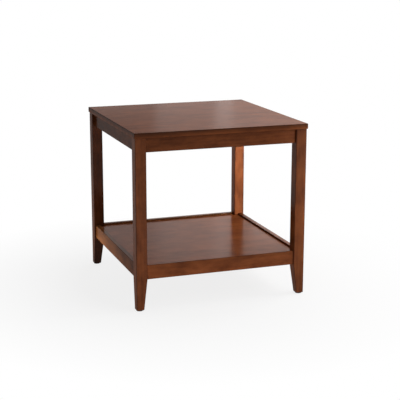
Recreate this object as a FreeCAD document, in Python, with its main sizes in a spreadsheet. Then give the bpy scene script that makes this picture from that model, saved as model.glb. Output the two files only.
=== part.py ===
"""End table with a lower shelf, as separate wooden pieces, glides and fasteners.

Millimetres, +Z up. The origin is on the floor, under the middle of the square top. The front is
towards -Y and the right side towards +X.

The table repeats itself by quarter turns: each quarter has one side (an apron, a shelf rail and a
cleat) and the corner at the left end of that side (a leg, its glide and its corner block). Pieces
are drawn once for the front side and the front left corner, and then turned into place.
"""
import FreeCAD, Part
import math
import os
import re

import Sketcher

# Driving dimensions: alias, value in millimetres, meaning.
SIZES = {
    # the table as a whole
    "table_width": (610, "overall width, along X"),
    "table_depth": (610, "overall depth, along Y"),
    "table_height": (600, "floor to the upper face of the top"),
    # top
    "top_thickness": (18, "thickness of the top"),
    "top_overhang": (3, "how far the top stands out over the legs"),
    "top_arris": (1.5, "rounding of the edges of the top"),
    # legs and feet
    "leg_size": (38, "side of the square leg"),
    "leg_taper": (12, "how much each inner face of the leg runs in at the foot"),
    "leg_arris": (2, "rounding of the long edges of the leg"),
    "foot_chamfer": (1.2, "chamfer round the lower end of the leg"),
    "glide_height": (3, "thickness of the glide under the foot"),
    "glide_diameter": (22, "diameter of the glide"),
    "glide_rounding": (1, "rounding of the lower edge of the glide"),
    # aprons
    "apron_height": (48, "height of the aprons"),
    "apron_thickness": (18, "thickness of the aprons"),
    "apron_recess": (9.5, "from the outer face of a leg back to the face of the apron"),
    "apron_arris": (1, "rounding of the long edges of the aprons"),
    # shelf
    "shelf_rail_base": (107, "floor to the underside of the shelf rails"),
    "shelf_rail_height": (49, "height of the shelf rails"),
    "shelf_rail_thickness": (16, "thickness of the shelf rails"),
    "shelf_rail_recess": (6.5, "from the outer face of a leg back to the face of the shelf rail"),
    "shelf_rail_arris": (1, "rounding of the long edges of the shelf rails"),
    "panel_thickness": (15, "thickness of the shelf panel"),
    "panel_drop": (6, "from the top of the shelf rails down to the face of the panel"),
    "panel_gap": (2, "shadow gap round the shelf panel"),
    "panel_arris": (0.8, "chamfer round the upper face of the shelf panel"),
    "cleat_width": (15, "width of the cleats that carry the panel"),
    "cleat_height": (15, "height of the cleats"),
    "cleat_setback": (0.5, "from a leg to the end of a cleat"),
    # dowels
    "dowel_diameter": (8, "diameter of the dowels"),
    "dowel_length": (30, "length of the dowels"),
    "dowel_spacing": (24, "between the two dowels of one rail end"),
    "dowel_wall": (2.5, "wood left in the leg between dowels that cross"),
    "dowel_chamfer": (0.8, "chamfer at the ends of the dowels"),
    # corner blocks
    "block_reach": (70, "length of a corner block along each apron"),
    "block_end": (12, "width of the two square ends of a corner block"),
    "block_height": (40, "height of the corner blocks"),
    "block_notch_gap": (0.5, "play between a corner block and the leg"),
    # hanger bolts with washers and nuts
    "bolt_diameter": (8, "diameter of the hanger bolts"),
    "bolt_length": (80, "length of the hanger bolts"),
    "bolt_proud": (3, "how far the bolt stands out of its nut"),
    "bolt_tip": (5, "length of the pointed end of the bolt"),
    "washer_diameter": (16, "outer diameter of the washers"),
    "washer_thickness": (1.6, "thickness of the washers"),
    "nut_width": (13, "across the flats of the nuts"),
    "nut_height": (6.5, "height of the nuts"),
    # countersunk screws
    "screw_diameter": (4, "diameter of all the screws"),
    "screw_head": (8, "diameter of the countersunk heads"),
    "screw_tip": (4, "length of the pointed end of the screws"),
    "recess_length": (4.2, "span of the cross recess in the heads"),
    "recess_width": (1, "width of each arm of the cross recess"),
    "recess_depth": (1.6, "depth of the cross recess"),
    "top_screw_length": (40, "screws from a corner block into the top"),
    "top_screw_bite": (12, "how far those screws go into the top"),
    "top_screw_far": (40, "from one apron to a top screw"),
    "top_screw_near": (14, "from the other apron to the same screw"),
    "block_screw_length": (32, "screws from a corner block into an apron"),
    "block_screw_bite": (14, "how far those screws go into the apron"),
    "block_screw_reach": (60, "from the corner of the aprons to a block screw"),
    "access_diameter": (9, "sunk bores that take the heads in the corner blocks"),
    "cleat_screw_length": (25, "screws from a cleat into a shelf rail"),
    "cleat_screw_inset": (44, "from the end of a cleat to its outer screws"),
    "panel_screw_length": (25, "screws from a cleat up into the shelf panel"),
    # nails of the glides
    "nail_diameter": (2.5, "diameter of the glide nails"),
    "nail_length": (17, "length of the glide nails"),
    "nail_head": (6, "diameter of the nail heads"),
    "nail_head_thickness": (1, "thickness of the nail heads"),
    "nail_recess": (1.5, "depth of the recess for the nail head in the glide"),
    # clearances
    "bore_play": (0.1, "play round dowels, bolts, screws and nails, on the radius"),
    "bore_spare": (0.5, "how much deeper a blind bore is than what goes in it"),
}

# Formulas in the aliases above, written once and used by every piece that meets there.
UNDER_TOP = "(table_height - top_thickness)"
LEG_LENGTH = f"({UNDER_TOP} - glide_height)"
TAPER_HEIGHT = "(shelf_rail_base - glide_height)"
FOOT_SIZE = "(leg_size - leg_taper)"
APRON_BASE = f"({UNDER_TOP} - apron_height)"
APRON_INNER = "(apron_recess + apron_thickness)"
APRON_AXIS = "(apron_recess + apron_thickness / 2)"
RAIL_INNER = "(shelf_rail_recess + shelf_rail_thickness)"
RAIL_AXIS = "(shelf_rail_recess + shelf_rail_thickness / 2)"
PANEL_BASE = "(shelf_rail_base + shelf_rail_height - panel_drop - panel_thickness)"
CLEAT_BASE = f"({PANEL_BASE} - cleat_height)"
APRON_DOWEL_DEPTH = f"(leg_size - {APRON_AXIS} - dowel_diameter / 2 - dowel_wall)"
RAIL_DOWEL_DEPTH = f"(leg_size - {RAIL_AXIS} - dowel_diameter / 2 - dowel_wall)"
DOWEL_BORE = "(dowel_diameter + 2 * bore_play)"
BOLT_BORE = "(bolt_diameter + 2 * bore_play)"
SCREW_BORE = "(screw_diameter + 2 * bore_play)"
SCREW_SINK = "(screw_head + 2 * bore_play)"
NAIL_BORE = "(nail_diameter + 2 * bore_play)"
BLOCK_NOTCH = f"(leg_size - {APRON_INNER} + block_notch_gap)"
BLOCK_FACE = "((block_reach + block_end) / 2)"
BLOCK_SCREW_SEAT = "(block_screw_length - block_screw_bite)"
TOP_SCREW_SEAT = "(top_screw_length - top_screw_bite)"
BOLT_HEIGHT = "(apron_height / 2)"
BOLT_OUTSIDE = "(washer_thickness + nut_height + bolt_proud)"
BOLT_END_IN_LEG = f"({APRON_INNER} + {BLOCK_FACE} - (bolt_length - {BOLT_OUTSIDE}) / sqrt(2))"

# Each quarter: turn in degrees, its side, its corner, the table's size along and across that side.
QUARTERS = (
    (0, "front", "front_left", "table_width", "table_depth"),
    (90, "right", "front_right", "table_depth", "table_width"),
    (180, "back", "back_right", "table_width", "table_depth"),
    (270, "left", "back_left", "table_depth", "table_width"),
)

UP = FreeCAD.Vector(0, 0, 1)
TO_LEFT = FreeCAD.Vector(-1, 0, 0)
TO_RIGHT = FreeCAD.Vector(1, 0, 0)
TO_FRONT = FreeCAD.Vector(0, -1, 0)
INTO_TABLE = FreeCAD.Vector(1, 1, 0)
OUT_OF_TABLE = FreeCAD.Vector(-1, -1, 0)

DOC = FreeCAD.newDocument("end_table")
SHEET = DOC.addObject("Spreadsheet::Sheet", "Sizes")


# ---------------------------------------------------------------- sheet and formulas

def fill_sheet():
    """Write one row per driving dimension: meaning, value, alias."""
    for row, (alias, (value, meaning)) in enumerate(SIZES.items(), 1):
        SHEET.set(f"A{row}", meaning)
        SHEET.set(f"B{row}", str(value))
        SHEET.setAlias(f"B{row}", alias)
    DOC.recompute()


def cells(formula):
    """Write each alias in a formula as a cell of the sheet."""
    return re.sub(r"[a-z_]+", lambda word: f"Sizes.{word[0]}" if word[0] in SIZES else word[0], formula)


def amount(formula):
    """Work out a formula as a plain number."""
    return float(SHEET.evalExpression(cells(formula)))


def bind(thing, prop, formula):
    """Tie a property of an object to a formula."""
    thing.setExpression(prop, cells(formula))


# ---------------------------------------------------------------- sketches

def new_body(name):
    body = DOC.addObject("PartDesign::Body", name)
    body.Label = name
    return body


def origin_plane(body, role):
    return next(item for item in body.Origin.OriginFeatures if item.Role == role)


def new_sketch(body, name, role, offset="0"):
    """Start a sketch on an origin plane of the body, moved along the normal of that plane."""
    sketch = body.newObject("Sketcher::SketchObject", name)
    sketch.AttachmentSupport = [(origin_plane(body, role), "")]
    sketch.MapMode = "FlatFace"
    bind(sketch, "AttachmentOffset.Base.z", offset)
    return sketch


def dimension(sketch, kind, ends, formula):
    """Add a driving dimension to a sketch and tie it to a formula."""
    index = sketch.addConstraint(Sketcher.Constraint(kind, *ends, amount(formula)))
    sketch.renameConstraint(index, f"size{index}")
    bind(sketch, f"Constraints.size{index}", formula)


def hold_point(sketch, geometry, vertex, x, y):
    """Hold a vertex at x, y of the sketch: on an axis for "0", by a dimension otherwise."""
    for kind, axis, formula in (("DistanceX", -2, x), ("DistanceY", -1, y)):
        if formula == "0":
            sketch.addConstraint(Sketcher.Constraint("PointOnObject", geometry, vertex, axis))
        else:
            dimension(sketch, kind, (-1, 1, geometry, vertex), formula)


def draw_polygon(sketch, corners):
    """Draw a closed outline through corners given as pairs of formulas."""
    points = [FreeCAD.Vector(amount(x), amount(y), 0) for x, y in corners]
    count = len(corners)
    for index in range(count):
        sketch.addGeometry(Part.LineSegment(points[index], points[(index + 1) % count]), False)
    for index in range(count):
        sketch.addConstraint(Sketcher.Constraint("Coincident", index, 2, (index + 1) % count, 1))
    for index, (x, y) in enumerate(corners):
        hold_point(sketch, index, 1, x, y)


def draw_rectangle(sketch, left, low, right, high):
    draw_polygon(sketch, ((left, low), (right, low), (right, high), (left, high)))


def draw_rounded_square(sketch, size, radius):
    """Draw a square with rounded corners, one corner of the square at the sketch's origin."""
    low, high = radius, f"{size} - {radius}"
    round_size = amount(radius)
    centres = ((low, low), (high, low), (high, high), (low, high))
    for index, (x, y) in enumerate(centres):
        middle = FreeCAD.Vector(amount(x), amount(y), 0)
        first = math.pi + index * math.pi / 2
        arc = Part.ArcOfCircle(Part.Circle(middle, UP, round_size), first, first + math.pi / 2)
        sketch.addGeometry(arc, False)
        hold_point(sketch, index, 3, x, y)
        dimension(sketch, "Radius", (index,), radius)
    for index in range(4):
        following = (index + 1) % 4
        ends = sketch.getPoint(index, 2), sketch.getPoint(following, 1)
        side = sketch.addGeometry(Part.LineSegment(*ends), False)
        sketch.addConstraint(Sketcher.Constraint("Tangent", index, 2, side, 1))
        sketch.addConstraint(Sketcher.Constraint("Tangent", side, 2, following, 1))


def draw_circles(sketch, centres, diameter):
    """Draw one circle of the same diameter round each centre."""
    for x, y in centres:
        start = FreeCAD.Vector(amount(x), amount(y), 0)
        index = sketch.addGeometry(Part.Circle(start, UP, amount(diameter) / 2), False)
        hold_point(sketch, index, 3, x, y)
        dimension(sketch, "Diameter", (index,), diameter)


# ---------------------------------------------------------------- features

def add_feature(body, kind, name, sketch, **formulas):
    """Add a feature that grows from a sketch, with its sizes tied to formulas."""
    feature = body.newObject(kind, name)
    feature.Profile = sketch
    for prop, formula in formulas.items():
        bind(feature, prop, formula)
    return feature


def pad(body, sketch, length):
    feature = add_feature(body, "PartDesign::Pad", "Pad", sketch, Length=length)
    DOC.recompute()
    return feature


def revolve(body, sketch):
    """Turn a sketch on the XZ plane into a solid of revolution about the Z axis."""
    feature = add_feature(body, "PartDesign::Revolution", "Revolution", sketch)
    feature.ReferenceAxis = (sketch, ["V_Axis"])
    feature.Angle = 360
    DOC.recompute()
    return feature


def must_cut(body, before, name):
    """Stop if a feature took nothing away from the body."""
    if not body.Shape.Volume < before:
        raise RuntimeError(f"{name} of {body.Label} cuts nothing")


def cut(body, name, sketch, depth, reverse=False):
    """Cut a sketch into the body, against the normal of its plane unless reversed."""
    before = body.Shape.Volume
    feature = add_feature(body, "PartDesign::Pocket", name, sketch, Length=depth)
    feature.Reversed = reverse
    DOC.recompute()
    must_cut(body, before, name)
    return feature


def cut_screw_holes(body, name, sketch, depth, reverse=False):
    """Drill clearance holes for countersunk screws at the circles of a sketch."""
    DOC.recompute()
    before = body.Shape.Volume
    feature = body.newObject("PartDesign::Hole", name)
    feature.Profile = sketch
    feature.ThreadType = "None"
    feature.DepthType = "Dimension"
    feature.DrillPoint = "Flat"
    feature.HoleCutType = "Countersink"
    feature.HoleCutCountersinkAngle = 90
    feature.Reversed = reverse
    bind(feature, "Diameter", SCREW_BORE)
    bind(feature, "HoleCutDiameter", SCREW_SINK)
    bind(feature, "Depth", depth)
    DOC.recompute()
    must_cut(body, before, name)
    return feature


def cut_slanted_bore(body, name, diameter, start, direction, length):
    """Drill a round bore whose axis isn't square to the origin planes of the body."""
    before = body.Shape.Volume
    bore = body.newObject("PartDesign::SubtractiveCylinder", name)
    bore.AttachmentSupport = [(origin_plane(body, "XY_Plane"), "")]
    bore.MapMode = "FlatFace"
    bore.AttachmentOffset = FreeCAD.Placement(FreeCAD.Vector(), FreeCAD.Rotation(UP, direction))
    for axis, formula in zip("xyz", start):
        bind(bore, f"AttachmentOffset.Base.{axis}", formula)
    bind(bore, "Radius", f"{diameter} / 2")
    bind(bore, "Height", length)
    DOC.recompute()
    must_cut(body, before, name)


def mirror(body, features, *roles):
    """Repeat features across one or two origin planes of the body."""
    before = body.Shape.Volume
    steps = []
    whole = body.newObject("PartDesign::MultiTransform", "Mirrors")
    whole.Originals = features
    for role in roles:
        step = body.newObject("PartDesign::Mirrored", f"Mirror_{role}")
        step.MirrorPlane = (origin_plane(body, role), [""])
        steps.append(step)
    whole.Transformations = steps
    body.Tip = whole
    DOC.recompute()
    must_cut(body, before, "Mirrors")


def soften(body, kind, size, wanted):
    """Round or chamfer the edges of the body's last feature that meet a test."""
    base = body.Tip
    names = [f"Edge{number}" for number, edge in enumerate(base.Shape.Edges, 1) if wanted(edge)]
    feature = body.newObject(f"PartDesign::{kind}", kind)
    feature.Base = (base, names)
    bind(feature, "Radius" if kind == "Fillet" else "Size", size)
    DOC.recompute()
    return feature


def runs_along(direction):
    """Make a test for straight edges that run mostly along a direction."""
    def wanted(edge):
        run = edge.Vertexes[-1].Point - edge.Vertexes[0].Point
        return run.Length > 0 and abs(run.normalize().dot(direction)) > 0.9
    return wanted


def lies_at(height):
    """Make a test for edges that lie flat at a height."""
    def wanted(edge):
        box = edge.BoundBox
        return abs(box.ZMin - height) < 1e-4 and abs(box.ZMax - height) < 1e-4
    return wanted


# ---------------------------------------------------------------- placing

def turned(x, y, turn):
    """Turn a pair of formulas about the middle of the table by quarters."""
    return {0: (x, y), 90: (f"-({y})", x), 180: (f"-({x})", f"-({y})"), 270: (y, f"-({x})")}[turn]


def place(thing, turn, x, y, z, direction=UP):
    """Place a piece, or a copy, at x, y, z of a quarter, its own Z along a direction there."""
    rotation = FreeCAD.Rotation(UP, turn) * FreeCAD.Rotation(UP, direction)
    thing.Placement = FreeCAD.Placement(FreeCAD.Vector(), rotation)
    for axis, formula in zip("xyz", (*turned(x, y, turn), z)):
        bind(thing, f"Placement.Base.{axis}", formula)
    return thing


def corner_of(along, across, inset):
    """Return x, y of the point that lies inset from both outer faces of a quarter's leg."""
    return tuple(f"({inset} - ({size} / 2 - top_overhang))" for size in (along, across))


def side_of(across, inset):
    """Return y of the line that lies inset from the outer faces of a quarter's legs."""
    return f"({inset} - ({across} / 2 - top_overhang))"


def between_legs(along):
    return f"({along} - 2 * (top_overhang + leg_size))"


def make_group(name, master, seats):
    """Place a copy of a master solid at each seat and keep them together as one sub-part."""
    copies = []
    for number, seat in enumerate(seats, 1):
        copy = DOC.addObject("App::Link", f"{name}_{number}")
        copy.LinkedObject = master
        copies.append(place(copy, *seat))
    group = DOC.addObject("Part::Compound", name)
    group.Label = name
    group.Links = copies
    DOC.recompute()
    return group


# ---------------------------------------------------------------- wooden pieces

def make_top():
    body = new_body("table_top")
    outline = new_sketch(body, "Outline", "XY_Plane")
    draw_rectangle(outline, "-table_width / 2", "-table_depth / 2", "table_width / 2", "table_depth / 2")
    pad(body, outline, "top_thickness")
    soften(body, "Fillet", "top_arris", lambda edge: True)
    pilots = new_sketch(body, "ScrewPilots", "XY_Plane")
    x, y = (f"({size} / 2 - top_overhang - {APRON_INNER})" for size in ("table_width", "table_depth"))
    draw_circles(
        pilots,
        (
            (f"{x} - top_screw_far", f"{y} - top_screw_near"),
            (f"{x} - top_screw_near", f"{y} - top_screw_far"),
        ),
        SCREW_BORE,
    )
    holes = cut(body, "Pilots", pilots, "top_screw_bite + bore_spare", reverse=True)
    mirror(body, [holes], "YZ_Plane", "XZ_Plane")
    return place(body, 0, "0", "0", UNDER_TOP)


def make_leg(name, turn, along, across):
    """Make a leg with its outer corner on the local Z axis and its inner faces towards +X and +Y."""
    body = new_body(name)
    full = new_sketch(body, "FullSection", "XY_Plane", TAPER_HEIGHT)
    draw_rounded_square(full, "leg_size", "leg_arris")
    pad(body, full, f"{LEG_LENGTH} - {TAPER_HEIGHT}")
    foot = new_sketch(body, "FootSection", "XY_Plane")
    draw_rounded_square(foot, FOOT_SIZE, "leg_arris")
    taper = body.newObject("PartDesign::AdditiveLoft", "Taper")
    taper.Profile = foot
    taper.Sections = [full]
    taper.Ruled = True
    DOC.recompute()
    soften(body, "Chamfer", "foot_chamfer", lies_at(0))
    cut_leg_bores(body)
    return place(body, turn, *corner_of(along, across, "0"), "glide_height")


def cut_leg_bores(body):
    """Drill the dowel bores of both inner faces, the hanger bolt's bore and the nail's bore."""
    levels = (
        (f"{LEG_LENGTH} - apron_height / 2", APRON_AXIS, APRON_DOWEL_DEPTH),
        (f"{TAPER_HEIGHT} + shelf_rail_height / 2", RAIL_AXIS, RAIL_DOWEL_DEPTH),
    )
    for middle, axis, depth in levels:
        centres = ((axis, f"{middle} - dowel_spacing / 2"), (axis, f"{middle} + dowel_spacing / 2"))
        for role, offset, reverse in (("YZ_Plane", "leg_size", False), ("XZ_Plane", "-leg_size", True)):
            bores = new_sketch(body, "DowelBores", role, offset)
            draw_circles(bores, centres, DOWEL_BORE)
            cut(body, "Dowels", bores, f"{depth} + bore_spare", reverse)
    # The bolt's bore runs from the inner corner of the leg towards its outer corner.
    start = f"{BOLT_END_IN_LEG} - bore_spare"
    length = f"(leg_size - ({start})) * sqrt(2) + bolt_diameter"
    height = f"{LEG_LENGTH} - {BOLT_HEIGHT}"
    cut_slanted_bore(body, "BoltBore", BOLT_BORE, (start, start, height), INTO_TABLE, length)
    nail = new_sketch(body, "NailBore", "XY_Plane")
    draw_circles(nail, ((f"{FOOT_SIZE} / 2", f"{FOOT_SIZE} / 2"),), NAIL_BORE)
    depth = "nail_recess - nail_head_thickness + nail_length - glide_height + bore_spare"
    cut(body, "Nail", nail, depth, reverse=True)


def make_rail(name, length, height, thickness, arris):
    """Make the blank of an apron, a rail or a cleat: outer face at y = 0, middle at x = 0."""
    body = new_body(name)
    outline = new_sketch(body, "Outline", "XY_Plane")
    draw_rectangle(outline, f"-{length} / 2", "0", f"{length} / 2", thickness)
    pad(body, outline, height)
    soften(body, "Fillet", arris, runs_along(TO_RIGHT))
    return body


def cut_rail_dowel_bores(body, length, height, thickness, depth_in_leg):
    """Drill two dowel bores into each end of a rail."""
    bores = new_sketch(body, "DowelBores", "YZ_Plane", f"{length} / 2")
    middle = f"{thickness} / 2"
    centres = (
        (middle, f"({height} - dowel_spacing) / 2"),
        (middle, f"({height} + dowel_spacing) / 2"),
    )
    draw_circles(bores, centres, DOWEL_BORE)
    ends = cut(body, "Dowels", bores, f"dowel_length - {depth_in_leg} + bore_spare")
    mirror(body, [ends], "YZ_Plane")


def make_apron(side, turn, along, across):
    length = between_legs(along)
    body = make_rail(f"apron_{side}", length, "apron_height", "apron_thickness", "apron_arris")
    cut_rail_dowel_bores(body, length, "apron_height", "apron_thickness", APRON_DOWEL_DEPTH)
    pilots = new_sketch(body, "ScrewPilots", "XZ_Plane", "-apron_thickness")
    x = f"{along} / 2 - top_overhang - {APRON_INNER} - block_screw_reach"
    draw_circles(pilots, ((x, "apron_height - block_height / 2"),), SCREW_BORE)
    holes = cut(body, "Pilots", pilots, "block_screw_bite + bore_spare", reverse=True)
    mirror(body, [holes], "YZ_Plane")
    return place(body, turn, "0", side_of(across, "apron_recess"), APRON_BASE)


def cleat_length(along):
    return f"({between_legs(along)} - 2 * cleat_setback)"


def make_shelf_rail(side, turn, along, across):
    length = between_legs(along)
    height, thickness = "shelf_rail_height", "shelf_rail_thickness"
    body = make_rail(f"shelf_rail_{side}", length, height, thickness, "shelf_rail_arris")
    cut_rail_dowel_bores(body, length, height, thickness, RAIL_DOWEL_DEPTH)
    level = f"{CLEAT_BASE} + cleat_height / 2 - shelf_rail_base"
    outer = f"{cleat_length(along)} / 2 - cleat_screw_inset"
    depth = "cleat_screw_length - cleat_width + bore_spare"
    for place_x in ("0", outer, f"-({outer})"):
        pilot = new_sketch(body, "ScrewPilot", "XZ_Plane", f"-{thickness}")
        draw_circles(pilot, ((place_x, level),), SCREW_BORE)
        cut(body, "Pilot", pilot, depth, reverse=True)
    return place(body, turn, "0", side_of(across, "shelf_rail_recess"), "shelf_rail_base")


def make_cleat(side, turn, along, across):
    length = cleat_length(along)
    body = make_rail(f"shelf_cleat_{side}", length, "cleat_height", "cleat_width", "shelf_rail_arris")
    outer = f"{length} / 2 - cleat_screw_inset"
    into_rail = new_sketch(body, "RailScrews", "XZ_Plane", "-cleat_width")
    draw_circles(into_rail, ((x, "cleat_height / 2") for x in ("0", outer, f"-({outer})")), SCREW_BORE)
    cut_screw_holes(body, "RailScrewHoles", into_rail, "cleat_width + bore_spare", reverse=True)
    into_panel = new_sketch(body, "PanelScrews", "XY_Plane")
    quarters = (f"{length} / 4", f"-{length} / 4")
    draw_circles(into_panel, ((x, "cleat_width / 2") for x in quarters), SCREW_BORE)
    cut_screw_holes(body, "PanelScrewHoles", into_panel, "cleat_height + bore_spare", reverse=True)
    return place(body, turn, "0", side_of(across, RAIL_INNER), CLEAT_BASE)


def make_panel():
    """Make the shelf panel, notched round the inner corner of each leg."""
    body = new_body("shelf_panel")
    legs_x, legs_y = (f"({size} / 2 - top_overhang)" for size in ("table_width", "table_depth"))
    half_x, half_y = (f"({outer} - {RAIL_INNER} - panel_gap)" for outer in (legs_x, legs_y))
    notch_x, notch_y = (f"({outer} - leg_size - panel_gap)" for outer in (legs_x, legs_y))
    outline = new_sketch(body, "Outline", "XY_Plane")
    draw_rectangle(outline, f"-{half_x}", f"-{half_y}", half_x, half_y)
    pad(body, outline, "panel_thickness")
    notch = new_sketch(body, "Notch", "XY_Plane")
    draw_rectangle(notch, notch_x, notch_y, half_x, half_y)
    corner = cut(body, "CornerNotch", notch, "panel_thickness", reverse=True)
    mirror(body, [corner], "YZ_Plane", "XZ_Plane")
    soften(body, "Chamfer", "panel_arris", lies_at(amount("panel_thickness")))
    pilots = new_sketch(body, "ScrewPilots", "XY_Plane")
    row_x, row_y = (f"{outer} - {RAIL_INNER} - cleat_width / 2" for outer in (legs_x, legs_y))
    centres = (
        (f"{cleat_length('table_width')} / 4", row_y),
        (row_x, f"{cleat_length('table_depth')} / 4"),
    )
    draw_circles(pilots, centres, SCREW_BORE)
    depth = "panel_screw_length - cleat_height + bore_spare"
    holes = cut(body, "Pilots", pilots, depth, reverse=True)
    mirror(body, [holes], "YZ_Plane", "XZ_Plane")
    return place(body, 0, "0", "0", PANEL_BASE)


def make_corner_block(corner, turn, along, across):
    """Make a corner block: apron faces at x = 0 and y = 0, notched round the leg between them."""
    body = new_body(f"corner_block_{corner}")
    outline = new_sketch(body, "Outline", "XY_Plane")
    draw_polygon(
        outline,
        (
            (BLOCK_NOTCH, "0"),
            ("block_reach", "0"),
            ("block_reach", "block_end"),
            ("block_end", "block_reach"),
            ("0", "block_reach"),
            ("0", BLOCK_NOTCH),
            (BLOCK_NOTCH, BLOCK_NOTCH),
        ),
    )
    pad(body, outline, "block_height")
    # Screws go up into the top from sunk bores, beside the bolt.
    centres = (("top_screw_far", "top_screw_near"), ("top_screw_near", "top_screw_far"))
    sunk = new_sketch(body, "TopScrewAccess", "XY_Plane")
    draw_circles(sunk, centres, "access_diameter")
    cut(body, "TopScrewSinks", sunk, f"block_height - {TOP_SCREW_SEAT}", reverse=True)
    top_screws = new_sketch(body, "TopScrews", "XY_Plane", f"block_height - {TOP_SCREW_SEAT}")
    draw_circles(top_screws, centres, SCREW_BORE)
    cut_screw_holes(body, "TopScrewHoles", top_screws, f"{TOP_SCREW_SEAT} + bore_spare", reverse=True)
    # One more screw goes into each apron from a sunk bore in the long face.
    centre = (("block_screw_reach", "block_height / 2"),)
    seats = (
        ("XZ_Plane", f"-{BLOCK_SCREW_SEAT}", False),
        ("YZ_Plane", BLOCK_SCREW_SEAT, True),
    )
    for role, offset, outward in seats:
        sunk = new_sketch(body, "ApronScrewAccess", role, offset)
        draw_circles(sunk, centre, "access_diameter")
        cut(body, "ApronScrewSink", sunk, "block_reach", reverse=outward)
        screw = new_sketch(body, "ApronScrew", role, offset)
        draw_circles(screw, centre, SCREW_BORE)
        depth = f"{BLOCK_SCREW_SEAT} + bore_spare"
        cut_screw_holes(body, "ApronScrewHole", screw, depth, reverse=not outward)
    height = f"block_height - {BOLT_HEIGHT}"
    cut_slanted_bore(body, "BoltBore", BOLT_BORE, ("0", "0", height), INTO_TABLE, "block_reach * 2")
    return place(body, turn, *corner_of(along, across, APRON_INNER), f"{UNDER_TOP} - block_height")


# ---------------------------------------------------------------- glides and fasteners

def make_glide(corner, turn, along, across):
    """Make a round glide, bored and recessed from below for its nail."""
    body = new_body(f"foot_glide_{corner}")
    disc = new_sketch(body, "Disc", "XY_Plane")
    draw_circles(disc, (("0", "0"),), "glide_diameter")
    pad(body, disc, "glide_height")
    soften(body, "Fillet", "glide_rounding", lies_at(0))
    recess = new_sketch(body, "HeadRecess", "XY_Plane")
    draw_circles(recess, (("0", "0"),), "nail_head + 2 * bore_play")
    cut(body, "Recess", recess, "nail_recess", reverse=True)
    shank = new_sketch(body, "ShankBore", "XY_Plane")
    draw_circles(shank, (("0", "0"),), NAIL_BORE)
    cut(body, "Bore", shank, "glide_height", reverse=True)
    return place(body, turn, *corner_of(along, across, f"{FOOT_SIZE} / 2"), "0")


def make_turned_master(name, profile):
    """Make a round fastener: its near end at the origin, its axis along +Z."""
    body = new_body(name)
    outline = new_sketch(body, "Profile", "XZ_Plane")
    draw_polygon(outline, profile)
    revolve(body, outline)
    return body


def make_screw_master(name, length):
    """Make a countersunk wood screw, head at the origin, with a cross recess."""
    radius, head = "screw_diameter / 2", "screw_head / 2"
    profile = (
        ("0", "0"),
        (head, "0"),
        (radius, f"{head} - {radius}"),
        (radius, f"{length} - screw_tip"),
        ("0", length),
    )
    body = make_turned_master(name, profile)
    for long_x, long_y in (("recess_length", "recess_width"), ("recess_width", "recess_length")):
        arm = new_sketch(body, "RecessArm", "XY_Plane")
        draw_rectangle(arm, f"-{long_x} / 2", f"-{long_y} / 2", f"{long_x} / 2", f"{long_y} / 2")
        cut(body, "CrossRecess", arm, "recess_depth", reverse=True)
    return body


def make_nut_master():
    """Make a hexagon nut: a prism with a round bore."""
    prism = DOC.addObject("Part::Prism", "NutPrism")
    prism.Polygon = 6
    bind(prism, "Circumradius", "nut_width / sqrt(3)")
    bind(prism, "Height", "nut_height")
    bore = DOC.addObject("Part::Cylinder", "NutBore")
    bind(bore, "Radius", f"{BOLT_BORE} / 2")
    bind(bore, "Height", "nut_height")
    nut = DOC.addObject("Part::Cut", "NutMaster")
    nut.Base = prism
    nut.Tool = bore
    DOC.recompute()
    return nut


def make_washer_master():
    body = new_body("WasherMaster")
    ring = new_sketch(body, "Ring", "XY_Plane")
    draw_circles(ring, (("0", "0"),), "washer_diameter")
    draw_circles(ring, (("0", "0"),), BOLT_BORE)
    pad(body, ring, "washer_thickness")
    return body


def make_dowel_master():
    radius = "dowel_diameter / 2"
    profile = (
        ("0", "0"),
        (f"{radius} - dowel_chamfer", "0"),
        (radius, "dowel_chamfer"),
        (radius, "dowel_length - dowel_chamfer"),
        (f"{radius} - dowel_chamfer", "dowel_length"),
        ("0", "dowel_length"),
    )
    return make_turned_master("DowelMaster", profile)


def make_bolt_master():
    radius = "bolt_diameter / 2"
    profile = (
        ("0", "0"),
        (f"{radius} - bolt_diameter / 8", "0"),
        (radius, "bolt_diameter / 8"),
        (radius, "bolt_length - bolt_tip"),
        ("0", "bolt_length"),
    )
    return make_turned_master("BoltMaster", profile)


def make_nail_master():
    head, radius = "nail_head / 2", "nail_diameter / 2"
    profile = (
        ("0", "0"),
        (head, "0"),
        (head, "nail_head_thickness"),
        (radius, "nail_head_thickness"),
        (radius, "nail_length - nail_diameter"),
        ("0", "nail_length"),
    )
    return make_turned_master("NailMaster", profile)


# ---------------------------------------------------------------- seats of the fasteners

def dowel_seats(inset, base, height, depth_in_leg):
    """List both dowels at both ends of each side's rail, driven from the leg into the rail."""
    seats = []
    for turn, _, _, along, across in QUARTERS:
        start = f"{between_legs(along)} / 2 + {depth_in_leg}"
        for sign in ("-", "+"):
            z = f"{base} + ({height} {sign} dowel_spacing) / 2"
            y = side_of(across, inset)
            seats.append((turn, f"-({start})", y, z, TO_RIGHT))
            seats.append((turn, start, y, z, TO_LEFT))
    return seats


def bolt_seats(outside, direction):
    """List one seat per corner on the bolt's axis, at a distance outside the block's long face."""
    inset = f"{APRON_INNER} + {BLOCK_FACE} + ({outside}) / sqrt(2)"
    z = f"{UNDER_TOP} - {BOLT_HEIGHT}"
    return [
        (turn, *corner_of(along, across, inset), z, direction) for turn, _, _, along, across in QUARTERS
    ]


def block_screw_seats():
    seats = []
    z = f"{UNDER_TOP} - block_height / 2"
    reach, depth = "block_screw_reach", BLOCK_SCREW_SEAT
    for turn, _, _, along, across in QUARTERS:
        x_corner, y_corner = corner_of(along, across, APRON_INNER)
        for x, y, direction in ((reach, depth, TO_FRONT), (depth, reach, TO_LEFT)):
            seats.append((turn, f"{x_corner} + {x}", f"{y_corner} + {y}", z, direction))
    return seats


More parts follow.
